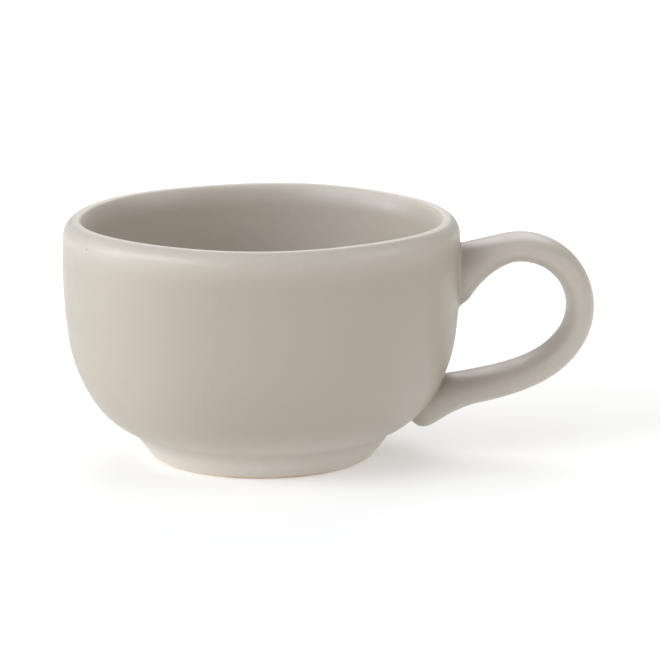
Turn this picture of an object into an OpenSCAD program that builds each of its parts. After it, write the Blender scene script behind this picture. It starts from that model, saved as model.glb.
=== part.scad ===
// Cappuccino cup in glazed stoneware: a round-bellied bowl on a flared foot ring, with a strap handle.
// Millimetres, +Z up. The origin is the centre of the standing face, and the handle points along +X.
// Outside sizes are over the glaze. Angles are in degrees.

/* [Bowl] */
// Outside diameter of the widest ring
bowl_d = 96; // [84:1:116]
// Height of the lip's crest above the table
cup_h = 58.4; // [50:0.2:76]
// Depth of the widest ring below the lip's crest
widest_depth = 12; // [8:0.2:16]
// Thickness of the wall at the widest ring
wall_t = 5.5; // [4.2:0.1:6.5]
// Radius of the slight lean of the wall above the widest ring
upper_wall_r = 185; // [90:1:400]
// Radius of the shoulder between the wall and the lip's outer edge
shoulder_r = 4.4; // [3.4:0.1:6]
// Slope of the shoulder at the lip's outer edge, from upright
shoulder_slope = 56; // [40:1:70]
// Rounding of the lip's outer edge, between the shoulder and the flat top
lip_outer_r = 1.2; // [0.9:0.1:2]
// Rounding of the lip's inner edge
lip_inner_r = 0.9; // [0.6:0.1:1.4]
// Radius of the inner wall's flare below the lip
lip_flare_r = 10; // [6:0.5:14]
// Slope of the flare at the lip's inner edge, from upright
lip_flare_slope = 28; // [10:1:40]
// Slope of the belly where it runs into the neck, from upright
belly_end_slope = 65.5; // [55:0.5:78]
// Thickness of the floor
floor_t = 5.6; // [4:0.1:9]
// Radius of the flat middle of the floor
floor_flat_r = 23; // [12:0.5:28]

/* [Foot] */
// Diameter of the foot at the table, before its edge is rounded
foot_d = 53.4; // [46:0.2:62]
// Height of the corner between the foot's side and the belly
neck_h = 6.9; // [5:0.1:10]
// Flare of the foot's side, from upright
foot_flare = 37.5; // [10:0.5:45]
// Radius of the hollow in the neck
neck_r = 4; // [1:0.1:7]
// Rounding of the foot's lower edges
foot_edge_r = 1.1; // [0.8:0.1:2]
// Width of the flat standing face
standing_w = 2.8; // [1.5:0.1:5]
// Depth of the recess under the floor
recess_depth = 4.8; // [2.5:0.1:6]
// Height of the bare clay band along the standing face
bare_h = 0.5; // [0.2:0.1:1]

/* [Glaze and slip] */
// Thickness of the glaze
glaze_t = 0.4; // [0.2:0.05:0.55]
// Radius of the glaze that pools in the corner of the recess
pool_r = 1.2; // [0.6:0.1:2]
// Thickness of the slip that joins the handle to the bowl
slip_t = 0.6; // [0.3:0.1:1.2]

/* [Handle] */
// Reach of the handle beyond the bowl's widest ring
handle_reach = 32.4; // [26:0.2:42]
// Radius of the loop, to the middle of the strap
loop_r = 14.6; // [12:0.05:17]
// Depth of the loop's centre below the lip's crest
loop_depth = 22.05; // [20:0.05:26]
// Rise of the upper arm from the bowl to the loop
upper_arm_rise = 12; // [5:0.1:25]
// Angle below level at which the loop runs out into the lower arm
loop_end_angle = 30; // [15:1:45]
// Height at which the middle of the lower arm enters the bowl
lower_root_h = 13.85; // [11:0.05:18]
// Fall of the lower arm where it enters the bowl
lower_arm_fall = 10.4; // [0:0.1:20]
// Width of the strap
strap_w = 15; // [11:0.2:18]
// Thickness of the strap round the loop
strap_t = 6.75; // [5:0.05:9]
// Thickness of the strap at the end of the lower arm
lower_arm_t = 8.3; // [6:0.05:11]
// Thickness that the flare adds at the upper root, on the finger's side
upper_flare_t = 6.8; // [0:0.1:12]
// Length of the flare at the upper root
upper_flare_l = 13.15; // [8:0.05:20]
// Thickness that the flare adds at the lower root, away from the finger
lower_flare_t = 5.2; // [0:0.1:12]
// Length of the flare at the lower root
lower_flare_l = 14.8; // [8:0.1:22]
// Length over which the lower arm's end rounds off outside the root
lower_round_l = 5; // [1:0.1:6]
// Depth of the upper arm's end inside the bowl, before it is trimmed to its surface
upper_root_depth = 6; // [5:0.1:9]
// Depth of the lower arm's end inside the bowl, before it is rounded and trimmed
lower_root_depth = 3.4; // [2:0.1:5]

/* [Hidden] */
$fn = 180;

glaze_colour = [0.72, 0.68, 0.64];
clay_colour = [0.80, 0.74, 0.66];
slip_colour = [0.70, 0.64, 0.57];

// How a belly curve of three arcs divides its drop and its turn, from its widest ring down
first_drop_share = 0.43;
first_turn_share = 0.356;
second_turn_share = 0.567;
// How much of the lip's free width the flare may take. The rest is the flat top.
lip_flare_share = 0.8;
// How far the lower arm's curve pulls at its loop end and at its root end, of the distance between them
arm_pull_shares = [0.31, 0.40];
// How much of the rounded end's length is drawn, and how much narrower the strap gets along it
round_end_share = 0.97;
round_narrow_share = 0.5;
// Exponent of the strap's section: 2 is an ellipse, and a larger one is squarer
strap_power = 2.2;
strap_sides = 28;
upper_rings = 9;
loop_rings = 20;
lower_rings = 18;
end_rings = 6;

bowl_r = bowl_d / 2;
widest_z = cup_h - widest_depth;
floor_z = recess_depth + floor_t;
// Cuts run past the part by this much
overrun = bowl_r;

// Directions and points of arcs in the half plane of radius and height
function ray(angle) = [cos(angle), sin(angle)];
function on_arc(arc, angle) = arc[0] + arc[1] * ray(angle);

// An arc is [centre, radius, first angle, last angle, bulge]. Bulge is 1 where the solid's outline swells
// and -1 where it is hollow.
function arc_start(arc) = on_arc(arc, arc[2]);
function arc_end(arc) = on_arc(arc, arc[3]);
function inset_arc(arc, inset) = [arc[0], arc[1] - arc[4] * inset, arc[2], arc[3], arc[4]];

// Three tangent arcs from an upright start at the widest ring down to an end with a given slope, listed from
// the end upwards. Every change of the two points keeps the three radii above zero.
function belly_arcs(start, end, end_slope) =
    let (
        drop = start[1] - end[1],
        turn_1 = first_turn_share * atan2(start[0] - end[0], drop),
        radius_1 = first_drop_share * drop / sin(turn_1),
        centre_1 = start - [radius_1, 0],
        join_1 = centre_1 + radius_1 * ray(-turn_1),
        rest = join_1 - end,
        chord = atan2(rest[0], rest[1]),
        least = max(turn_1, 2 * chord - end_slope),
        most = min(end_slope, 2 * chord - turn_1),
        turn_2 = least + second_turn_share * (most - least),
        step_2 = ray(-turn_1) - ray(-turn_2),
        step_3 = ray(-turn_2) - ray(-end_slope),
        cross_23 = step_2[0] * step_3[1] - step_2[1] * step_3[0],
        radius_2 = (rest[0] * step_3[1] - rest[1] * step_3[0]) / cross_23,
        radius_3 = (step_2[0] * rest[1] - step_2[1] * rest[0]) / cross_23,
        centre_2 = join_1 - radius_2 * ray(-turn_1),
        join_2 = centre_2 + radius_2 * ray(-turn_2),
        centre_3 = join_2 - radius_3 * ray(-turn_2)
    )
    [
        [centre_3, radius_3, -end_slope, -turn_2],
        [centre_2, radius_2, -turn_2, -turn_1],
        [centre_1, radius_1, -turn_1, 0]
    ];

// The foot's lower edge touches the flared side. Its clay, inside the glaze, is round down to the table.
clay_edge_r = foot_edge_r - glaze_t;
foot_flat_r = foot_d / 2 - (foot_edge_r - clay_edge_r * sin(foot_flare)) / cos(foot_flare);
foot_edge = [[foot_flat_r, clay_edge_r], foot_edge_r, -90, -foot_flare, 1];

// The neck: a hollow between the foot's side and the belly's end
neck_corner = [foot_d / 2 + neck_h * tan(foot_flare), neck_h];
neck_run = neck_r * tan((belly_end_slope - foot_flare) / 2);
belly_end = neck_corner + neck_run * [sin(belly_end_slope), cos(belly_end_slope)];
neck = [belly_end + neck_r * ray(-belly_end_slope), neck_r, 180 - foot_flare, 180 - belly_end_slope, -1];

outer_belly = [for (arc = belly_arcs([bowl_r, widest_z], belly_end, belly_end_slope)) concat(arc, 1)];
inner_belly = [
    for (arc = belly_arcs([bowl_r - wall_t, widest_z], [floor_flat_r, floor_z], 90))
        [arc[0], arc[1], arc[3], arc[2], -1]
];

// The upper wall leans in on one centre, inside and out. A shoulder leads to the lip, whose top is flat, and
// the inner wall flares out to it as far as the wall allows.
lean_centre = [bowl_r - upper_wall_r, widest_z];
shoulder_centre_r = upper_wall_r - shoulder_r;
lip_step = (shoulder_r - lip_outer_r) * ray(shoulder_slope);
wall_lean = asin((cup_h - lip_outer_r - lip_step[1] - widest_z) / shoulder_centre_r);
shoulder_centre = lean_centre + shoulder_centre_r * ray(wall_lean);
lip_room = max(wall_t - (shoulder_r - lip_step[0]) - lip_inner_r, 0);
flare_turn_r = lip_flare_r - lip_inner_r;
flare_w = min(flare_turn_r * (1 - cos(lip_flare_slope)), lip_flare_share * lip_room);
flare_slope = acos(1 - flare_w / flare_turn_r);
flare_step = flare_turn_r * ray(180 - flare_slope);
inner_wall_r = upper_wall_r - wall_t;
flare_centre_r = inner_wall_r + lip_flare_r;
inner_lean = asin((cup_h - lip_inner_r - flare_step[1] - widest_z) / flare_centre_r);
flare_centre = lean_centre + flare_centre_r * ray(inner_lean);
upper_wall = [lean_centre, upper_wall_r, 0, wall_lean, 1];
shoulder = [shoulder_centre, shoulder_r, wall_lean, shoulder_slope, 1];
outer_lip = [shoulder_centre + lip_step, lip_outer_r, shoulder_slope, 90, 1];
inner_lip = [flare_centre + flare_step, lip_inner_r, 90, 180 - flare_slope, 1];
lip_flare = [flare_centre, lip_flare_r, 180 - flare_slope, 180 + inner_lean, 1];
inner_wall = [lean_centre, inner_wall_r, inner_lean, 0, -1];

outside_arcs = concat([foot_edge, neck], outer_belly, [upper_wall, shoulder, outer_lip]);
inside_arcs = concat(
    [inner_lip, lip_flare, inner_wall],
    [for (i = [len(inner_belly) - 1 : -1 : 0]) inner_belly[i]]
);

// Radius of the bowl's outside at a height on its belly
function belly_radius(height) =
    [
        for (arc = outer_belly)
            if (height >= arc_start(arc)[1] && height <= arc_end(arc)[1])
                arc[0][0] + sqrt(pow(arc[1], 2) - pow(height - arc[0][1], 2))
    ][0];

// The sliver between an arc and its chord, which reaches past the chord as far again
module arc_sliver(arc) {
    half_turn = (arc[3] - arc[2]) / 2;
    tip = on_arc([arc[0], arc[1] / cos(half_turn)], arc[2] + half_turn);
    past_chord = arc_start(arc) + arc_end(arc) - on_arc(arc, arc[2] + half_turn);
    intersection() {
        translate(arc[0]) circle(arc[1]);
        polygon([arc_start(arc), tip, arc_end(arc), past_chord]);
    }
}

// A closed outline through arcs, whose ends are joined by straight lines, with loose points before and after
module arc_outline(before, arcs, after) {
    difference() {
        union() {
            polygon(concat(before, [for (arc = arcs) each [arc_start(arc), arc_end(arc)]], after));
            for (arc = arcs) if (arc[4] > 0) arc_sliver(arc);
        }
        for (arc = arcs) if (arc[4] < 0) arc_sliver(arc);
    }
}

// Half section of the cup without its recess, inset from the glaze's surface
module cup_section(inset) {
    arcs = [for (arc = concat(outside_arcs, inside_arcs)) inset_arc(arc, inset)];
    arc_outline([[0, inset - glaze_t]], arcs, [[0, floor_z - inset]]);
}

// Half section of the cup's outside alone, filled to the axis
module outside_section(inset) {
    arcs = [for (arc = outside_arcs) inset_arc(arc, inset)];
    arc_outline([[0, inset - glaze_t]], arcs, [[0, cup_h - inset]]);
}

// Half plane above or below a height
module above(height) {
    translate([0, height]) square([bowl_r + overrun, cup_h + overrun]);
}
module below(height) {
    translate([0, height - overrun]) square([bowl_r + overrun, overrun]);
}

// The recess under the floor: its side is upright, and the ring's inner edge is rounded like the outer one
recess_r = foot_flat_r - standing_w - clay_edge_r;
recess_edge = [[recess_r + clay_edge_r, clay_edge_r], clay_edge_r, 180, 270, -1];
module recess_section() {
    arc_outline([[0, recess_depth], [recess_r, recess_depth]], [recess_edge], [[0, 0]]);
}

// The space in the recess that the glaze leaves free
pool_centre = [recess_r - glaze_t - pool_r, recess_depth - glaze_t - pool_r];
glazed_recess_corner = [pool_centre, pool_r, 90, 0, 1];
module glazed_recess_section() {
    arc_outline(
        [[0, recess_depth - glaze_t]],
        [glazed_recess_corner],
        [[recess_r - glaze_t, -overrun], [0, -overrun]]
    );
}

// The handle's middle line, in the plane of X and Z: a straight upper arm, a round loop and a curved lower arm
loop_centre = [bowl_r + handle_reach - strap_t / 2 - loop_r, cup_h - loop_depth];
loop_start_angle = 90 + upper_arm_rise;
loop_start = loop_centre + loop_r * ray(loop_start_angle);
loop_end = loop_centre + loop_r * ray(-loop_end_angle);
upper_arm_dir = ray(upper_arm_rise);
upper_arm_l = (loop_start[0] - bowl_r) / upper_arm_dir[0];
upper_root_l = upper_root_depth / upper_arm_dir[0];
lower_arm_dir = -ray(lower_arm_fall);
lower_end = [belly_radius(lower_root_h) - lower_root_depth, lower_root_h];
arm_span = norm(lower_end - loop_end);
arm_pulls = [
    loop_end,
    loop_end + arm_pull_shares[0] * arm_span * -ray(90 - loop_end_angle),
    lower_end - arm_pull_shares[1] * arm_span * lower_arm_dir,
    lower_end
];
// The rounded end beyond the lower root closes an ellipse of this length
lower_end_l = lower_root_depth + glaze_t;

function curve_at(t) =
    pow(1 - t, 3) * arm_pulls[0] + 3 * pow(1 - t, 2) * t * arm_pulls[1]
    + 3 * (1 - t) * pow(t, 2) * arm_pulls[2] + pow(t, 3) * arm_pulls[3];
function curve_slope(t) =
    pow(1 - t, 2) * (arm_pulls[1] - arm_pulls[0]) + 2 * (1 - t) * t * (arm_pulls[2] - arm_pulls[1])
    + pow(t, 2) * (arm_pulls[3] - arm_pulls[2]);
function unit(v) = v / norm(v);

// Each stop on the middle line is [point, direction, distance from the upper wall]
upper_stops = [
    for (i = [0 : upper_rings - 1])
        let (s = (upper_arm_l + upper_root_l) * (i / upper_rings - 1))
        [loop_start + s * upper_arm_dir, upper_arm_dir, upper_arm_l + s]
];
loop_turn = loop_start_angle + loop_end_angle;
loop_stops = [
    for (i = [0 : loop_rings - 1])
        let (turn = loop_turn * i / loop_rings, angle = loop_start_angle - turn)
        [
            loop_centre + loop_r * ray(angle),
            ray(angle - 90),
            upper_arm_l + loop_r * turn * PI / 180
        ]
];
lower_points = [for (i = [0 : lower_rings]) curve_at(i / lower_rings)];
lower_lengths = [for (i = [1 : lower_rings]) norm(lower_points[i] - lower_points[i - 1])];
function sum_from(list, first) = first < len(list) ? list[first] + sum_from(list, first + 1) : 0;
lower_arm_l = sum_from(lower_lengths, 0);

// Share of a root's flare at a distance from the wall: it grows by the square up to the wall and evenly inside it
function flare_share(distance, length) =
    let (share = max(1 - distance / length, 0))
    share > 1 ? share : pow(share, 2);

// How far the strap's end has closed at a distance before the lower root; past it the distance is below zero
function end_closing(distance) =
    let (past = (lower_round_l - distance) / (lower_round_l + lower_end_l))
    sqrt(1 - pow(max(past, 0), 2));

// Each ring is [point, direction, thickness, width]. A flare above zero thickens the strap away from the finger,
// and one below zero thickens it on the finger's side.
function flared_ring(point, direction, arm_t, flare_t, width) =
    [point + flare_t / 2 * [-direction[1], direction[0]], direction, arm_t + abs(flare_t), width];
upper_half = [
    for (stop = concat(upper_stops, loop_stops))
        flared_ring(stop[0], stop[1], strap_t, -upper_flare_t * flare_share(stop[2], upper_flare_l), strap_w)
];
lower_half = [
    for (i = [0 : lower_rings])
        let (
            distance = sum_from(lower_lengths, i),
            closing = end_closing(distance),
            direction = unit(curve_slope(i / lower_rings)),
            arm_t = strap_t + (lower_arm_t - strap_t) * (1 - distance / lower_arm_l),
            flare_t = lower_flare_t * flare_share(distance, lower_flare_l)
        )
        flared_ring(lower_points[i], direction, arm_t * closing, flare_t * closing, strap_w)
];
lower_tip = [
    for (i = [1 : end_rings])
        let (
            share = round_end_share * sin(90 * i / end_rings),
            past = share * lower_end_l,
            closing = end_closing(-past)
        )
        flared_ring(
            lower_end + past * lower_arm_dir,
            lower_arm_dir,
            lower_arm_t * closing,
            lower_flare_t * closing,
            strap_w * sqrt(1 - round_narrow_share * pow(share, 2))
        )
];
handle_rings = concat(upper_half, lower_half, lower_tip);

// The strap's section is a rounded rectangle, worked out as a superellipse
function bent(value) = sign(value) * pow(abs(value), 2 / strap_power);
function ring_points(ring, inset) = [
    for (j = [0 : strap_sides - 1])
        let (
            angle = 360 * j / strap_sides,
            out = (ring[2] / 2 - inset) * bent(cos(angle)),
            across = (ring[3] / 2 - inset) * bent(sin(angle)),
            place = ring[0] + out * [-ring[1][1], ring[1][0]]
        )
        [place[0], across, place[1]]
];
function skin_points(inset) = [for (ring = handle_rings) each ring_points(ring, inset)];

// Triangles between two rings of points that start at the given places in the list
function band_faces(first, second) = [
    for (j = [0 : strap_sides - 1])
        let (k = (j + 1) % strap_sides)
        each [[first + j, second + k, second + j], [first + j, first + k, second + k]]
];
function skin_faces() = [
    for (i = [0 : len(handle_rings) - 2]) each band_faces(i * strap_sides, (i + 1) * strap_sides)
];
function fan_faces(first) = [for (j = [1 : strap_sides - 2]) [first, first + j, first + j + 1]];
function flipped(faces) = [for (face = faces) [face[2], face[1], face[0]]];
last_ring = (len(handle_rings) - 1) * strap_sides;
skin_size = len(handle_rings) * strap_sides;

// The strap as a solid, inset from the glaze's surface
module strap(inset) {
    polyhedron(
        skin_points(inset),
        concat(skin_faces(), flipped(fan_faces(0)), fan_faces(last_ring))
    );
}

// The strap's glaze as a tube
module strap_tube() {
    inner_faces = [for (face = flipped(skin_faces())) [for (index = face) index + skin_size]];
    polyhedron(
        concat(skin_points(0), skin_points(glaze_t)),
        concat(
            skin_faces(),
            inner_faces,
            band_faces(skin_size, 0),
            band_faces(last_ring, last_ring + skin_size)
        )
    );
}

// The bowl's filled outside, for trimming what sits on it
module bowl_body(inset) {
    rotate_extrude() outside_section(inset);
}

// A height between the two roots
root_split_z = (loop_centre[1] + lower_root_h) / 2;

// The strap outside the bowl, with a little of what lies in its wall
root_inset = 2 * glaze_t;
module strap_outside() {
    difference() {
        strap(glaze_t);
        bowl_body(root_inset);
    }
}

module slip_layer() {
    rotate_extrude() intersection() {
        difference() {
            outside_section(glaze_t - slip_t);
            outside_section(glaze_t);
        }
        children();
    }
}

module bowl() {
    color(clay_colour) rotate_extrude() intersection() {
        cup_section(glaze_t);
        above(recess_depth);
    }
}

module foot_ring() {
    color(clay_colour) rotate_extrude() difference() {
        intersection() {
            cup_section(glaze_t);
            below(recess_depth);
        }
        recess_section();
    }
}

module handle() {
    color(clay_colour) difference() {
        strap(glaze_t);
        bowl_body(glaze_t - slip_t);
    }
}

module upper_slip() {
    color(slip_colour) intersection() {
        strap(glaze_t);
        slip_layer() above(root_split_z);
    }
}

module lower_slip() {
    color(slip_colour) intersection() {
        strap(glaze_t);
        slip_layer() below(root_split_z);
    }
}

module bowl_glaze() {
    color(glaze_colour) difference() {
        rotate_extrude() intersection() {
            difference() {
                cup_section(0);
                cup_section(glaze_t);
            }
            above(bare_h);
        }
        strap_outside();
    }
}

module handle_glaze() {
    color(glaze_colour) difference() {
        strap_tube();
        bowl_body(0);
    }
}

module base_glaze() {
    color(glaze_colour) rotate_extrude() intersection() {
        difference() {
            recess_section();
            glazed_recess_section();
        }
        above(bare_h);
    }
}

bowl();
foot_ring();
handle();
upper_slip();
lower_slip();
bowl_glaze();
handle_glaze();
base_glaze();
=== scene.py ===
"""Looks of a cappuccino cup in satin-glazed stoneware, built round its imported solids.

Shapes are worked out in millimetres from the same values as the solids, and meshes are made in metres.
Angles are in degrees where they are named values.
"""

import math

import bpy
import numpy as np
from mathutils import Matrix


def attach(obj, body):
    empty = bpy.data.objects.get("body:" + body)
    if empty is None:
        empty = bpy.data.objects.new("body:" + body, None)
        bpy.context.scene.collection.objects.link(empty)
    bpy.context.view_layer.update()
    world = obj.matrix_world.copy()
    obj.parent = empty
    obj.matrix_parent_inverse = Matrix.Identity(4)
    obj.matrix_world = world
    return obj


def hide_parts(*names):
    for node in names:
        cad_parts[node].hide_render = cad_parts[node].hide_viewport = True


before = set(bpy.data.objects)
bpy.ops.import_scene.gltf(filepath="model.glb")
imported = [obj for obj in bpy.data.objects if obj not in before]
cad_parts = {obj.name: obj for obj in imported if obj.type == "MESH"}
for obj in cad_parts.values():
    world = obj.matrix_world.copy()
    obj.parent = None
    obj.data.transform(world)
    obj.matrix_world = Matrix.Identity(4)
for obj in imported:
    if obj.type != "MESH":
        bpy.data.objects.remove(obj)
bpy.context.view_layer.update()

MM = 0.001

# Bowl
BOWL_R = 48.0
CUP_H = 58.4
WIDEST_Z = 46.4
WALL_T = 5.5
UPPER_WALL_R = 185.0
SHOULDER_R = 4.4
SHOULDER_SLOPE = 56.0
LIP_OUTER_R = 1.2
LIP_INNER_R = 0.9
LIP_FLARE_R = 10.0
LIP_FLARE_SLOPE = 28.0
BELLY_END_SLOPE = 65.5
FLOOR_Z = 10.4
FLOOR_FLAT_R = 23.0
FIRST_DROP_SHARE = 0.43
FIRST_TURN_SHARE = 0.356
SECOND_TURN_SHARE = 0.567

# The rim's slight waves, as (waves round the rim, height, phase in radians), and where they start
RIM_WAVES = (
    (0, 0.08, 0.0), (1, 0.22, 1.72), (2, 0.16, -3.11), (3, 0.12, 1.81), (4, 0.08, 2.83), (5, 0.08, -0.81),
    (6, 0.04, -1.60),
)
WAVE_FOOT_Z = 40

# Foot
FOOT_R = 26.7
NECK_H = 6.9
FOOT_FLARE = 37.5
NECK_R = 4.0
FOOT_EDGE_R = 1.1
STANDING_W = 2.8
RECESS_DEPTH = 4.8
BARE_H = 0.5
WORN_H = 0.35
CLAY_UNDER_GLAZE = 3.0
GLAZE_T = 0.4
POOL_R = 1.2

# Handle
HANDLE_REACH = 32.4
LOOP_R = 14.6
LOOP_DEPTH = 22.05
UPPER_ARM_RISE = 12.0
LOOP_END_ANGLE = 30.0
LOWER_ROOT_H = 13.85
LOWER_ARM_FALL = 10.4
STRAP_W = 15.0
STRAP_T = 6.75
LOWER_ARM_T = 8.3
UPPER_FLARE_T = 6.8
UPPER_FLARE_L = 13.15
LOWER_FLARE_T = 5.2
LOWER_FLARE_L = 14.8
LOWER_ROUND_L = 5.0
UPPER_ROOT_DEPTH = 6.0
LOWER_ROOT_DEPTH = 3.4
ARM_PULL_SHARES = (0.31, 0.40)
ROUND_END_SHARE = 0.97
ROUND_NARROW_SHARE = 0.5
STRAP_POWER = 2.2
ROOT_FILLET = 0.8
FILLET_SHARE = 0.4
SKIRT_SINK = 0.03

# How finely the handle is drawn: rings along its middle line, and the rows of its skin
STRAP_SIDES = 60
UPPER_RINGS = 80
LOOP_RINGS = 160
LOWER_RINGS = 160
END_RINGS = 40
UPPER_ROOT_LAST = 96
LOWER_ROOT_FIRST = 326
MIDDLE_STEP = 4
UPPER_ROOT_ROWS = 26
LOWER_ROOT_ROWS = 30
FILLET_ROWS = 8
POOLED_ROWS = 14
# The first ring of the lobe whose bend is rounded, and how often it is averaged
LOBE_FIRST = 360
LOBE_ROUNDS = 40

# How finely the bowl and the foot are drawn: columns, steps along the profile, and most turn per row
COLUMNS = 176
ROW_TURN = 7.5
FINE_TURN = 6
EDGE_TURN = 10
POOL_TURN = 12
CLAY_TURN = 15
SEAT_STEP = 0.1
EDGE_STEP = 0.2
POOL_STEP = 0.3
TOP_STEP = 0.4
SHOULDER_STEP = 0.45
NECK_STEP = 0.5
FLARE_STEP = 0.6
STANDING_STEP = 0.7
SIDE_STEP = 0.8
CLAY_STEP = 1
WALL_STEP = 1.1
FLOOR_STEP = 1.6
GLAZE_EDGE_ROWS = 5
LEAST_STEP = 0.01

# Where the glaze is thin or pooled, and where light or a highlight is painted into its colour: how strongly,
# and how far round
# The lip's inner edge is paler, partly from thin glaze and partly as a painted highlight along the edge
LIP_THIN_AND_HIGHLIGHT, LIP_THIN_AND_HIGHLIGHT_REACH = 0.6, 1.4
EDGE_THIN_REACH = 0.9
NECK_POOL_ANGLE, NECK_POOL_REACH = 14, 4.5
RECESS_POOL_REACH = 3.0
# Painted highlight: the glaze is paler round the lip's crown, as light from above would make it
LIP_PAINTED_LIGHT, LIP_PAINTED_LIGHT_REACH = 1.0, 9.0
# Painted light: the glaze is paler over the foot, as light from the floor would make it
FOOT_PAINTED_LIGHT, FOOT_PAINTED_LIGHT_REACH = 1.6, 22.0
# Painted light: the whole inside of the cup is paler, as if more light fell into it
INSIDE_PAINTED_LIGHT = 0.65
# Painted light: the handle is paler than the bowl, fading out at its roots
HANDLE_PAINTED_LIGHT = 0.7


def ray(angle):
    return np.array([math.cos(math.radians(angle)), math.sin(math.radians(angle))])


def unit(v):
    return v / np.linalg.norm(v)


def smooth(value, low, high):
    t = np.clip((value - low) / (high - low), 0, 1)
    return t * t * (3 - 2 * t)


# An arc is (centre, radius, first angle, last angle) in the half plane of radius and height.
def belly_arcs(start, end, end_slope):
    """Three tangent arcs from an upright start at the widest ring down to an end, listed upwards."""
    drop = start[1] - end[1]
    turn_1 = FIRST_TURN_SHARE * math.degrees(math.atan2(start[0] - end[0], drop))
    radius_1 = FIRST_DROP_SHARE * drop / math.sin(math.radians(turn_1))
    centre_1 = start - radius_1 * ray(0)
    join_1 = centre_1 + radius_1 * ray(-turn_1)
    rest = join_1 - end
    chord = math.degrees(math.atan2(*rest))
    least = max(turn_1, 2 * chord - end_slope)
    most = min(end_slope, 2 * chord - turn_1)
    turn_2 = least + SECOND_TURN_SHARE * (most - least)
    step_2 = ray(-turn_1) - ray(-turn_2)
    step_3 = ray(-turn_2) - ray(-end_slope)
    radius_2, radius_3 = np.linalg.solve(np.column_stack([step_2, step_3]), rest)
    centre_2 = join_1 - radius_2 * ray(-turn_1)
    centre_3 = centre_2 + (radius_2 - radius_3) * ray(-turn_2)
    return [
        (centre_3, radius_3, -end_slope, -turn_2),
        (centre_2, radius_2, -turn_2, -turn_1),
        (centre_1, radius_1, -turn_1, 0),
    ]


flare_up, flare_out = ray(90 - FOOT_FLARE), ray(-FOOT_FLARE)
clay_edge_r = FOOT_EDGE_R - GLAZE_T
foot_flat_r = FOOT_R - (FOOT_EDGE_R - clay_edge_r * flare_up[0]) / flare_up[1]
foot_corner = np.array([FOOT_R, 0])
neck_corner = np.array([FOOT_R + NECK_H * flare_up[0] / flare_up[1], NECK_H])
neck_run = NECK_R * math.tan(math.radians(BELLY_END_SLOPE - FOOT_FLARE) / 2)
belly_end = neck_corner + neck_run * ray(90 - BELLY_END_SLOPE)
neck = (belly_end + NECK_R * ray(-BELLY_END_SLOPE), NECK_R, 180 - FOOT_FLARE, 180 - BELLY_END_SLOPE)
floor_edge = np.array([FLOOR_FLAT_R, FLOOR_Z])
outer_belly = belly_arcs(np.array([BOWL_R, WIDEST_Z]), belly_end, BELLY_END_SLOPE)
inner_belly = belly_arcs(np.array([BOWL_R - WALL_T, WIDEST_Z]), floor_edge, 90)

lean_centre = np.array([BOWL_R - UPPER_WALL_R, WIDEST_Z])
shoulder_centre_r = UPPER_WALL_R - SHOULDER_R
lip_step = (SHOULDER_R - LIP_OUTER_R) * ray(SHOULDER_SLOPE)
wall_lean = math.degrees(math.asin((CUP_H - LIP_OUTER_R - lip_step[1] - WIDEST_Z) / shoulder_centre_r))
shoulder_centre = lean_centre + shoulder_centre_r * ray(wall_lean)
inner_wall_r = UPPER_WALL_R - WALL_T
flare_centre_r = inner_wall_r + LIP_FLARE_R
flare_step = (LIP_FLARE_R - LIP_INNER_R) * ray(180 - LIP_FLARE_SLOPE)
inner_lean = math.degrees(math.asin((CUP_H - LIP_INNER_R - flare_step[1] - WIDEST_Z) / flare_centre_r))
flare_centre = lean_centre + flare_centre_r * ray(inner_lean)
upper_wall = (lean_centre, UPPER_WALL_R, 0, wall_lean)
shoulder = (shoulder_centre, SHOULDER_R, wall_lean, SHOULDER_SLOPE)
outer_lip = (shoulder_centre + lip_step, LIP_OUTER_R, SHOULDER_SLOPE, 90)
inner_lip = (flare_centre + flare_step, LIP_INNER_R, 90, 180 - LIP_FLARE_SLOPE)
lip_flare = (flare_centre, LIP_FLARE_R, 180 - LIP_FLARE_SLOPE, 180 + inner_lean)
inner_wall = (lean_centre, inner_wall_r, inner_lean, 0)


def arc_rows(arc, step, turn=ROW_TURN):
    centre, radius, first, last = arc
    sweep = abs(last - first)
    count = max(2, math.ceil(radius * math.radians(sweep) / step), math.ceil(sweep / turn))
    return [centre + radius * ray(a) for a in np.linspace(first, last, count + 1)]


def reversed_arc(arc):
    return arc[0], arc[1], arc[3], arc[2]


def line_rows(start, end, step):
    count = max(1, math.ceil(np.linalg.norm(end - start) / step))
    return [start + (end - start) * t for t in np.linspace(0, 1, count + 1)]


def joined(*runs):
    """One list of rows, without the points that two runs share."""
    rows = []
    for run in runs:
        for row in run:
            if not rows or np.linalg.norm(row - rows[-1]) > LEAST_STEP:
                rows.append(np.array(row, float))
    return rows


# Outside radius of the bowl by height, for seating the handle
outside = joined(*[arc_rows(arc, SEAT_STEP) for arc in (neck, *outer_belly, upper_wall)])
outside_heights = [row[1] for row in outside]
outside_radii = [row[0] for row in outside]


def bowl_radius(height):
    return np.interp(height, outside_heights, outside_radii)


def bowl_normal(point):
    half = SEAT_STEP / 2
    slope = (bowl_radius(point[2] + half) - bowl_radius(point[2] - half)) / SEAT_STEP
    radial = unit(np.array([point[0], point[1]]))
    return unit(np.array([radial[0], radial[1], -slope]))


def onto_bowl(point, sink):
    """A point moved level to just below the bowl's outside."""
    scale = (bowl_radius(point[2]) - sink) / math.hypot(point[0], point[1])
    return np.array([point[0] * scale, point[1] * scale, point[2]])


def new_object(name, data):
    thing = bpy.data.objects.new(name, data)
    bpy.context.scene.collection.objects.link(thing)
    return thing


def new_piece(name, points, faces, marks):
    """A smooth mesh piece from points in millimetres. Marks are values per point for its material to read."""
    mesh = bpy.data.meshes.new(name)
    mesh.from_pydata([tuple(MM * c for c in p) for p in points], [], faces)
    mesh.polygons.foreach_set("use_smooth", [True] * len(mesh.polygons))
    for mark, values in marks.items():
        attribute = mesh.attributes.new(mark, "FLOAT", "POINT")
        attribute.data.foreach_set("value", np.asarray(values, np.float32))
    mesh.validate()
    return new_object(name, mesh)


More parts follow.
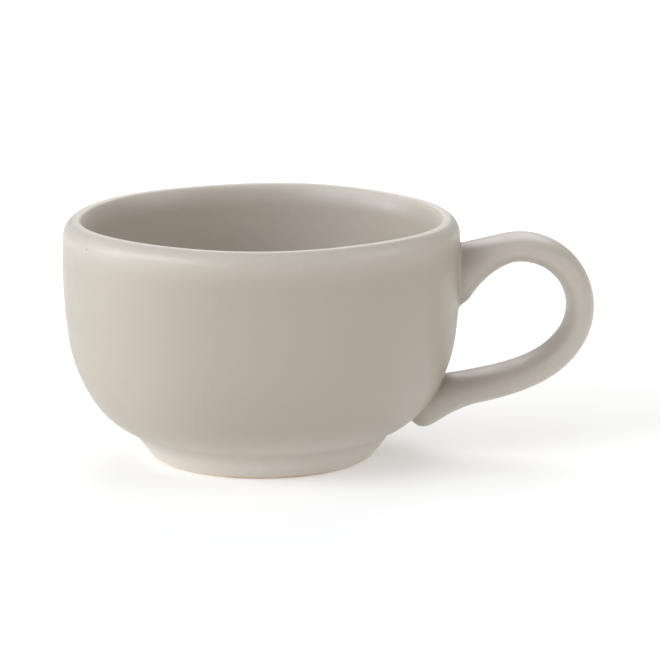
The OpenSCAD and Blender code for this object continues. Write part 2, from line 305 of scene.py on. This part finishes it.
def lathe(name, rows, marks, wave=None):
    """A surface of revolution through rows of radius and height. It faces left of the way the rows run."""
    angles = np.linspace(0, 2 * math.pi, COLUMNS, endpoint=False)
    points, faces, rings, values = [], [], [], {mark: [] for mark in marks}
    for i, (radius, height) in enumerate(rows):
        turns = angles if radius > 0 else angles[:1]
        rings.append(range(len(points), len(points) + len(turns)))
        for angle in turns:
            lift = wave(angle, height) if wave else 0
            points.append((radius * math.cos(angle), radius * math.sin(angle), height + lift))
        for mark in marks:
            values[mark] += [marks[mark][i]] * len(turns)
    for low, high in zip(rings, rings[1:]):
        for j in range(COLUMNS):
            k = (j + 1) % COLUMNS
            if len(low) == 1:
                faces.append((low[0], high[k], high[j]))
            elif len(high) == 1:
                faces.append((low[j], low[k], high[0]))
            else:
                faces.append((low[j], low[k], high[k], high[j]))
    return new_piece(name, points, faces, values)


def near(rows, place, reach):
    """How near each row is to a place on the profile: 1 on it, 0 beyond reach."""
    return np.array([1 - smooth(np.linalg.norm(row - place), 0, reach) for row in rows])


def rim_wave(angle, height):
    lift = sum(high * math.cos(count * angle + phase) for count, high, phase in RIM_WAVES)
    return lift * smooth(height, WAVE_FOOT_Z, CUP_H)


# The bowl's glaze: from its rounded lower edge on the foot, over the lip and down to the floor's middle
edge_turns = np.linspace(0, math.pi / 2, GLAZE_EDGE_ROWS)
edge_base = foot_corner + BARE_H / flare_up[1] * flare_up - GLAZE_T * flare_out
glaze_edge = [
    edge_base + GLAZE_T * (math.sin(a) * flare_out + (1 - math.cos(a)) * flare_up) for a in edge_turns
]
lip_crown = outer_lip[0] + LIP_OUTER_R * ray(90)
lip_edge = inner_lip[0] + LIP_INNER_R * ray(135)
flat_top = line_rows(lip_crown, inner_lip[0] + LIP_INNER_R * ray(90), TOP_STEP)
bowl_rows = joined(
    glaze_edge,
    line_rows(glaze_edge[-1], arc_rows(neck, NECK_STEP)[0], SIDE_STEP),
    arc_rows(neck, NECK_STEP, FINE_TURN),
    *[arc_rows(arc, WALL_STEP) for arc in outer_belly],
    arc_rows(upper_wall, WALL_STEP),
    arc_rows(shoulder, SHOULDER_STEP),
    arc_rows(outer_lip, EDGE_STEP, FINE_TURN),
    flat_top[1:-1],
    arc_rows(inner_lip, EDGE_STEP, EDGE_TURN),
    arc_rows(lip_flare, FLARE_STEP),
    arc_rows(inner_wall, WALL_STEP),
    *[arc_rows(reversed_arc(arc), WALL_STEP) for arc in reversed(inner_belly)],
    line_rows(floor_edge, np.array([0, FLOOR_Z]), FLOOR_STEP),
)
lip_row = np.argmin([np.linalg.norm(row - lip_edge) for row in bowl_rows])
# Paler where the glaze is thin at its lower edge on the foot, and at the lip's inner edge, where it is also a
# painted highlight
thin_glaze_and_highlight = np.maximum(
    LIP_THIN_AND_HIGHLIGHT * near(bowl_rows, lip_edge, LIP_THIN_AND_HIGHLIGHT_REACH),
    near(bowl_rows, glaze_edge[GLAZE_EDGE_ROWS // 2], EDGE_THIN_REACH),
)
pooled = near(bowl_rows, neck[0] - NECK_R * ray(-FOOT_FLARE - NECK_POOL_ANGLE), NECK_POOL_REACH)
# Painted light: the glaze is made paler round the lip's crown, over the foot and over the whole inside
painted_light = np.max([
    LIP_PAINTED_LIGHT * near(bowl_rows, lip_crown, LIP_PAINTED_LIGHT_REACH),
    FOOT_PAINTED_LIGHT * near(bowl_rows, foot_corner, FOOT_PAINTED_LIGHT_REACH),
    [INSIDE_PAINTED_LIGHT * (i > lip_row) for i in range(len(bowl_rows))],
], axis=0)
bowl_glaze = lathe("bowl_glaze_skin", bowl_rows, {"thin_glaze_and_highlight": thin_glaze_and_highlight, "painted_light": painted_light, "pooled": pooled}, rim_wave)

# The bare foot ring: its inner side, its standing face, and its outer side up under the glaze
recess_r = foot_flat_r - STANDING_W - clay_edge_r
inner_edge = np.array([recess_r + clay_edge_r, clay_edge_r])
outer_edge = np.array([foot_flat_r, clay_edge_r])
ring_rows = joined(
    line_rows(np.array([recess_r, RECESS_DEPTH]), np.array([recess_r, clay_edge_r]), CLAY_STEP),
    arc_rows((inner_edge, clay_edge_r, 180, 270), EDGE_STEP, CLAY_TURN),
    line_rows(np.array([recess_r + clay_edge_r, 0]), np.array([foot_flat_r, 0]), STANDING_STEP),
    arc_rows((outer_edge, clay_edge_r, -90, -FOOT_FLARE), EDGE_STEP, EDGE_TURN),
    line_rows(edge_base, edge_base + CLAY_UNDER_GLAZE * flare_up, CLAY_STEP),
)
worn = [smooth(WORN_H - row[1], 0, WORN_H) for row in ring_rows]
foot_ring = lathe("foot_ring_clay", ring_rows, {"worn": worn})

# The glaze in the recess, from its middle out to the bare ring
recess_top = RECESS_DEPTH - GLAZE_T
recess_side = recess_r - GLAZE_T
pool_centre = np.array([recess_r - GLAZE_T - POOL_R, RECESS_DEPTH - GLAZE_T - POOL_R])
recess_edge = [
    np.array([recess_r - GLAZE_T * math.cos(a), BARE_H + GLAZE_T * (1 - math.sin(a))]) for a in edge_turns
]
base_rows = joined(
    line_rows(np.array([0, recess_top]), np.array([pool_centre[0], recess_top]), FLOOR_STEP),
    arc_rows((pool_centre, POOL_R, 90, 0), POOL_STEP, POOL_TURN),
    line_rows(np.array([recess_side, pool_centre[1]]), np.array([recess_side, BARE_H + GLAZE_T]), SIDE_STEP),
    recess_edge,
)
base_marks = {
    "thin_glaze_and_highlight": near(base_rows, recess_edge[GLAZE_EDGE_ROWS // 2], EDGE_THIN_REACH),
    "pooled": near(base_rows, pool_centre + POOL_R * ray(45), RECESS_POOL_REACH),
}
base_glaze = lathe("base_glaze_skin", base_rows, base_marks)

# The handle's middle line: a straight upper arm, a round loop and a curved lower arm
loop_centre = np.array([BOWL_R + HANDLE_REACH - STRAP_T / 2 - LOOP_R, CUP_H - LOOP_DEPTH])
loop_start_angle = 90 + UPPER_ARM_RISE
loop_start = loop_centre + LOOP_R * ray(loop_start_angle)
loop_end = loop_centre + LOOP_R * ray(-LOOP_END_ANGLE)
upper_dir = ray(UPPER_ARM_RISE)
lower_dir = -ray(LOWER_ARM_FALL)
upper_l = (loop_start[0] - BOWL_R) / upper_dir[0]
upper_root_l = UPPER_ROOT_DEPTH / upper_dir[0]
lower_end = np.array([bowl_radius(LOWER_ROOT_H) - LOWER_ROOT_DEPTH, LOWER_ROOT_H])
arm_span = np.linalg.norm(lower_end - loop_end)
arm_pulls = np.array([
    loop_end,
    loop_end - ARM_PULL_SHARES[0] * arm_span * ray(90 - LOOP_END_ANGLE),
    lower_end - ARM_PULL_SHARES[1] * arm_span * lower_dir,
    lower_end,
])
lower_end_l = LOWER_ROOT_DEPTH + GLAZE_T


def end_closing(distance):
    """How far the strap's end has closed at a distance before the lower root, or past it if below zero."""
    past = max((LOWER_ROUND_L - distance) / (LOWER_ROUND_L + lower_end_l), 0)
    return math.sqrt(1 - past ** 2)


def flare_share(distance, length):
    """Share of a root's flare at a distance: it grows by the square up to the wall and evenly inside it."""
    share = max(1 - distance / length, 0)
    return share if share > 1 else share ** 2


def flared_ring(point, direction, arm_t, flare_t, width):
    """A ring thickened by a flare: away from the finger, or on the finger's side if below zero."""
    side = np.array([-direction[1], direction[0]])
    return point + flare_t / 2 * side, direction, arm_t + abs(flare_t), width


def handle_rings():
    """Rings along the strap as (point, direction, thickness, width)."""
    rings = []
    for s in np.linspace(-upper_l - upper_root_l, 0, UPPER_RINGS, endpoint=False):
        flare_t = -UPPER_FLARE_T * flare_share(upper_l + s, UPPER_FLARE_L)
        rings.append(flared_ring(loop_start + s * upper_dir, upper_dir, STRAP_T, flare_t, STRAP_W))
    for a in np.linspace(loop_start_angle, -LOOP_END_ANGLE, LOOP_RINGS, endpoint=False):
        distance = upper_l + LOOP_R * math.radians(loop_start_angle - a)
        flare_t = -UPPER_FLARE_T * flare_share(distance, UPPER_FLARE_L)
        rings.append(flared_ring(loop_centre + LOOP_R * ray(a), ray(a - 90), STRAP_T, flare_t, STRAP_W))
    turns = np.linspace(0, 1, LOWER_RINGS + 1)[:, None]
    line = (
        (1 - turns) ** 3 * arm_pulls[0] + 3 * (1 - turns) ** 2 * turns * arm_pulls[1]
        + 3 * (1 - turns) * turns ** 2 * arm_pulls[2] + turns ** 3 * arm_pulls[3]
    )
    slopes = np.gradient(line, axis=0)
    lengths = np.linalg.norm(np.diff(line, axis=0), axis=1)
    left = np.append(np.cumsum(lengths[::-1])[::-1], 0)
    for point, slope, distance in zip(line, slopes, left):
        arm_t = STRAP_T + (LOWER_ARM_T - STRAP_T) * (1 - distance / left[0])
        flare_t = LOWER_FLARE_T * flare_share(distance, LOWER_FLARE_L)
        closing = end_closing(distance)
        rings.append(flared_ring(point, unit(slope), arm_t * closing, flare_t * closing, STRAP_W))
    for share in ROUND_END_SHARE * np.sin(np.linspace(0, math.pi / 2, END_RINGS + 1)[1:]):
        past = share * lower_end_l
        closing = end_closing(-past)
        wide = STRAP_W * math.sqrt(1 - ROUND_NARROW_SHARE * share ** 2)
        tip = lower_end + past * lower_dir
        rings.append(flared_ring(tip, lower_dir, LOWER_ARM_T * closing, LOWER_FLARE_T * closing, wide))
    return rings


def softened(lines):
    """Lines with a rounded bend at the lobe's lower edge, where points are averaged with their neighbours."""
    for _ in range(LOBE_ROUNDS):
        before, after = lines[:, LOBE_FIRST - 1:-2], lines[:, LOBE_FIRST + 1:]
        lines[:, LOBE_FIRST:-1] = (before + 2 * lines[:, LOBE_FIRST:-1] + after) / 4
    return lines


def strap_lines():
    """Lines along the strap's skin, one for each side of its section, as an array of side, ring and point."""
    turn = np.linspace(0, 2 * math.pi, STRAP_SIDES, endpoint=False)
    bend = 2 / STRAP_POWER
    out = np.sign(np.cos(turn)) * np.abs(np.cos(turn)) ** bend
    across = np.sign(np.sin(turn)) * np.abs(np.sin(turn)) ** bend
    lines = []
    for point, direction, thick, wide in handle_rings():
        x = point[0] - direction[1] * out * thick / 2
        z = point[1] + direction[0] * out * thick / 2
        lines.append(np.column_stack([x, across * wide / 2, z]))
    return softened(np.array(lines).transpose(1, 0, 2))


def line_from_wall(line):
    """The part of a line from where it leaves the bowl, for a line that ends outside."""
    clear = np.hypot(line[:, 0], line[:, 1]) - bowl_radius(line[:, 2])
    last = np.nonzero(clear < 0)[0][-1]
    share = clear[last] / (clear[last] - clear[last + 1])
    return np.vstack([line[last] + share * (line[last + 1] - line[last]), line[last + 1:]])


def along(line, distances):
    places = np.insert(np.cumsum(np.linalg.norm(np.diff(line, axis=0), axis=1)), 0, 0)
    return np.column_stack([np.interp(distances, places, line[:, c]) for c in range(3)])


def root_rows(lines, rows):
    """Rows of points from a skirt on the bowl, through a hollow fillet, to the far end of each line."""
    lines = [line_from_wall(line) for line in lines]
    meets = np.array([line[0] for line in lines])
    middle = meets.mean(0)
    bends = np.linspace(0, 1, FILLET_ROWS + 1)[:-1, None]
    strips = []
    for j, line in enumerate(lines):
        normal = bowl_normal(meets[j])
        loop = meets[(j + 1) % len(meets)] - meets[j - 1]
        away = unit(np.cross(loop, normal))
        away *= np.sign(away @ (meets[j] - middle))
        length = np.linalg.norm(np.diff(line, axis=0), axis=1).sum()
        reach = min(ROOT_FILLET, FILLET_SHARE * length)
        skirt = onto_bowl(meets[j] + reach * away, SKIRT_SINK)
        start = along(line, [reach])[0]
        fillet = (1 - bends) ** 2 * skirt + 2 * (1 - bends) * bends * meets[j] + bends ** 2 * start
        rest = along(line, np.linspace(reach, length, rows))
        strips.append(np.vstack([fillet, rest]))
    return np.array(strips)


def handle_skin():
    lines = strap_lines()
    upper = root_rows(lines[:, :UPPER_ROOT_LAST + 1], UPPER_ROOT_ROWS)
    lower = root_rows(lines[:, LOWER_ROOT_FIRST:][:, ::-1], LOWER_ROOT_ROWS)
    middle = lines[:, UPPER_ROOT_LAST + MIDDLE_STEP:LOWER_ROOT_FIRST:MIDDLE_STEP]
    strips = np.concatenate([upper, middle, lower[:, ::-1]], axis=1)
    sides, rows = strips.shape[:2]
    faces = []
    for j in range(sides):
        k = (j + 1) % sides
        for i in range(rows - 1):
            faces.append((j * rows + i, j * rows + i + 1, k * rows + i + 1, k * rows + i))
    root = np.zeros((sides, rows))
    root[:, :POOLED_ROWS] = np.linspace(1, 0, POOLED_ROWS)
    root[:, -POOLED_ROWS:] = np.linspace(0, 1, POOLED_ROWS)
    # The handle's painted light fades out towards its roots, where the glaze pools
    marks = {
        "thin_glaze_and_highlight": np.zeros(sides * rows),
        "painted_light": HANDLE_PAINTED_LIGHT * (1 - root).ravel(),
        "pooled": root.ravel(),
    }
    return new_piece("handle_glaze_skin", strips.reshape(-1, 3), faces, marks)


handle_glaze = handle_skin()


class Material:
    """A node material with a Principled shader, and short calls that add nodes to it."""

    def __init__(self, name):
        self.material = bpy.data.materials.new(name)
        self.material.use_nodes = True
        self.tree = self.material.node_tree
        self.shader = self.tree.nodes["Principled BSDF"]
        self.place = self.tree.nodes.new("ShaderNodeTexCoord").outputs["Object"]

    def node(self, kind, inputs=None, **settings):
        node = self.tree.nodes.new(kind)
        for name, value in settings.items():
            setattr(node, name, value)
        for name, value in (inputs or {}).items():
            self.put(value, node.inputs[name])
        return node

    def put(self, value, socket):
        if isinstance(value, bpy.types.NodeSocket):
            self.tree.links.new(value, socket)
        else:
            socket.default_value = value

    def noise(self, scale, detail=2.0, roughness=0.5):
        inputs = {"Vector": self.place, "Scale": scale, "Detail": detail, "Roughness": roughness}
        return self.node("ShaderNodeTexNoise", inputs).outputs["Fac"]

    def ramp(self, value, low, high, to_low=0.0, to_high=1.0):
        inputs = {"Value": value, "From Min": low, "From Max": high, "To Min": to_low, "To Max": to_high}
        return self.node("ShaderNodeMapRange", inputs, interpolation_type="SMOOTHSTEP").outputs["Result"]

    def mark(self, name):
        return self.node("ShaderNodeAttribute", attribute_name=name).outputs["Fac"]

    def part_mix(self, amount, most, first, second):
        """A mix from the first colour towards the second, by an amount that counts for so much at most."""
        part = self.node("ShaderNodeMath", {0: amount, 1: most}, operation="MULTIPLY").outputs[0]
        return self.mix(part, first, second)

    def mix(self, amount, first, second):
        inputs = {0: amount, 6: first, 7: second}
        return self.node("ShaderNodeMix", inputs, data_type="RGBA").outputs[2]

    def set(self, **inputs):
        for name, value in inputs.items():
            self.put(value, self.shader.inputs[name.replace("_", " ")])

    def bump(self, height, distance, under=None):
        inputs = {"Height": height, "Distance": distance, "Strength": 1.0}
        if under:
            inputs["Normal"] = under
        return self.node("ShaderNodeBump", inputs).outputs["Normal"]


GLAZE = (0.390, 0.348, 0.291, 1)
GLAZE_DRIFT = (0.406, 0.367, 0.313, 1)
# A paler glaze colour that paints light onto the lip, the foot, the inside and the handle
GLAZE_PAINTED_LIGHT = (0.60, 0.555, 0.495, 1)
GLAZE_DEEP = (0.37, 0.33, 0.28, 1)
# A paler colour for thin glaze, which on the lip's inner edge is also a painted highlight
GLAZE_THIN_AND_HIGHLIGHT = (0.66, 0.60, 0.53, 1)
GLAZE_IOR = 1.5
GLAZE_ROUGHNESS = (0.36, 0.46)
PAINTED_LIGHT_MOST, MOTTLE_MOST, POOLED_MOST, THIN_AND_HIGHLIGHT_MOST = 0.6, 0.10, 0.35, 0.75
# The dark speck, in metres: its place on the shoulder, and the radii between which it fades
SPECK = (0.09, 0.075, 0.06, 1)
SPECK_PLACE = (-0.04064, -0.02515, 0.05541)
SPECK_RADII = (0.00014, 0.00036)
SPECK_MOST = 0.8
PEEL_DEPTH, GRAIN_DEPTH = 0.00006, 0.000008

CLAY = ((0.62, 0.50, 0.38, 1), (0.72, 0.61, 0.49, 1))
CLAY_GRIT = (0.42, 0.32, 0.23, 1)
CLAY_WORN = (0.80, 0.70, 0.58, 1)
CLAY_ROUGHNESS = (0.78, 0.9)
GRIT_MOST, WORN_MOST = 0.5, 0.25
CLAY_DEPTH = 0.00006

SLIP = ((0.52, 0.42, 0.32, 1), (0.60, 0.50, 0.40, 1))
SLIP_ROUGHNESS = 0.85
SLIP_DEPTH = 0.00005

FLOOR = (0.92, 0.92, 0.915, 1)
FLOOR_ROUGHNESS = 0.8
FLOOR_GLOW = 0.19
WHITE = (1, 1, 1, 1)


def glaze_material():
    m = Material("satin_glaze")
    drift = m.ramp(m.noise(22, 1), 0.30, 0.70)
    mottle = m.ramp(m.noise(900, 3, 0.6), 0.35, 0.65)
    colour = m.mix(drift, GLAZE, GLAZE_DRIFT)
    # Painted light: the glaze turns paler where the painted-light mark is set
    colour = m.part_mix(m.mark("painted_light"), PAINTED_LIGHT_MOST, colour, GLAZE_PAINTED_LIGHT)
    colour = m.part_mix(mottle, MOTTLE_MOST, colour, GLAZE_DEEP)
    colour = m.part_mix(m.mark("pooled"), POOLED_MOST, colour, GLAZE_DEEP)
    # Thin glaze, and on the lip's inner edge also a painted highlight
    colour = m.part_mix(m.mark("thin_glaze_and_highlight"), THIN_AND_HIGHLIGHT_MOST, colour, GLAZE_THIN_AND_HIGHLIGHT)
    gap = m.node("ShaderNodeVectorMath", {0: m.place, 1: SPECK_PLACE}, operation="DISTANCE").outputs["Value"]
    colour = m.mix(m.ramp(gap, *SPECK_RADII, SPECK_MOST, 0.0), colour, SPECK)
    rough = m.ramp(m.noise(240, 3), 0.3, 0.7, *GLAZE_ROUGHNESS)
    peel = m.bump(m.noise(330, 2), PEEL_DEPTH)
    grain = m.bump(m.noise(2600, 2), GRAIN_DEPTH, peel)
    m.set(Base_Color=colour, Roughness=rough, Normal=grain, IOR=GLAZE_IOR)
    return m.material


def clay_material():
    m = Material("bare_clay")
    tint = m.ramp(m.noise(300, 4, 0.6), 0.3, 0.7)
    grit = m.ramp(m.noise(1900, 2), 0.62, 0.72)
    colour = m.part_mix(grit, GRIT_MOST, m.mix(tint, *CLAY), CLAY_GRIT)
    colour = m.part_mix(m.mark("worn"), WORN_MOST, colour, CLAY_WORN)
    grain = m.bump(m.noise(1500, 4, 0.65), CLAY_DEPTH)
    m.set(Base_Color=colour, Roughness=m.ramp(tint, 0, 1, *CLAY_ROUGHNESS), Normal=grain)
    return m.material


def slip_material():
    m = Material("fired_slip")
    tint = m.ramp(m.noise(420, 3), 0.3, 0.7)
    grain = m.bump(m.noise(1200, 3), SLIP_DEPTH)
    m.set(Base_Color=m.mix(tint, *SLIP), Roughness=SLIP_ROUGHNESS, Normal=grain)
    return m.material


def floor_material():
    m = Material("floor_paper")
    m.set(Base_Color=FLOOR, Roughness=FLOOR_ROUGHNESS)
    m.set(Emission_Color=WHITE, Emission_Strength=FLOOR_GLOW)
    return m.material


glaze, clay, slip = glaze_material(), clay_material(), slip_material()


def finish_piece(piece, material, node):
    piece.data.materials.append(material)
    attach(piece, "root")
    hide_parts(node)


finish_piece(bowl_glaze, glaze, "bowl_glaze")
finish_piece(handle_glaze, glaze, "handle_glaze")
finish_piece(base_glaze, glaze, "base_glaze")
finish_piece(foot_ring, clay, "foot_ring")
for node, material in {"bowl": clay, "handle": clay, "upper_slip": slip, "lower_slip": slip}.items():
    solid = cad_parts[node]
    solid.data.materials.clear()
    solid.data.materials.append(material)

# The stage, in metres. The camera is fitted to a square picture of so many pixels.
FLOOR_HALF = 6.0
PICTURE_PIXELS = 660
FOCAL_PIXELS = 3708.3
SENSOR_W = 36
CLIP_RANGE = (0.05, 20)
CAMERA_AIM = np.array([0.016445, 0, 0.030361])
CAMERA_ELEVATION = 12.487
CAMERA_DISTANCE = 0.9
CAMERA_ROLL = -0.1285
LIGHT_DISTANCE = 2.0
LIGHT_AIM = (0, 0, 0.03)
WORLD_STRENGTH = 0.40
COOL = (0.92, 0.96, 1.0)
NEUTRAL = (1, 1, 1)
# Soft boxes that face the cup, as (name, azimuth, elevation, size, power, colour). Azimuth 0 is the camera's
# side and 90 is the handle's.
LIGHTS = (
    ("key", -55, 26, (1.6, 1.0), 24.5, COOL),
    ("side_left", -92, 10, (1.0, 1.0), 17, COOL),
    ("right", 78, 26, (1.5, 1.0), 11.5, NEUTRAL),
    ("behind", 176, 36, (1.4, 1.5), 15, NEUTRAL),
    ("top", -15, 68, (1.2, 1.2), 2.5, NEUTRAL),
)


def turned(angle, axis):
    return Matrix.Rotation(math.radians(angle), 4, axis)


def add_floor():
    mesh = bpy.data.meshes.new("floor")
    corners = [(-1, -1), (1, -1), (1, 1), (-1, 1)]
    mesh.from_pydata([(FLOOR_HALF * x, FLOOR_HALF * y, 0) for x, y in corners], [], [(0, 1, 2, 3)])
    floor = new_object("floor", mesh)
    mesh.materials.append(floor_material())


def add_camera():
    data = bpy.data.cameras.new("camera")
    data.sensor_width = SENSOR_W
    data.lens = SENSOR_W * FOCAL_PIXELS / PICTURE_PIXELS
    data.clip_start, data.clip_end = CLIP_RANGE
    camera = new_object("camera", data)
    back = np.array([0, *(ray(CAMERA_ELEVATION) * (-1, 1))])
    place = Matrix.Translation(CAMERA_AIM + CAMERA_DISTANCE * back)
    camera.matrix_world = place @ turned(90 - CAMERA_ELEVATION, "X") @ turned(CAMERA_ROLL, "Z")
    bpy.context.scene.camera = camera


def add_light(name, azimuth, elevation, size, power, colour):
    data = bpy.data.lights.new(name, "AREA")
    data.shape = "RECTANGLE"
    data.size, data.size_y = size
    data.energy = power
    data.color = colour
    light = new_object(name, data)
    turn = turned(azimuth, "Z") @ turned(90 - elevation, "X")
    light.matrix_world = Matrix.Translation(LIGHT_AIM) @ turn @ Matrix.Translation((0, 0, LIGHT_DISTANCE))


def add_world():
    world = bpy.data.worlds.new("studio")
    world.use_nodes = True
    world.node_tree.nodes["Background"].inputs["Color"].default_value = WHITE
    world.node_tree.nodes["Background"].inputs["Strength"].default_value = WORLD_STRENGTH
    bpy.context.scene.world = world


add_floor()
add_camera()
add_world()
for light in LIGHTS:
    add_light(*light)
bpy.context.scene.view_settings.view_transform = "Standard"
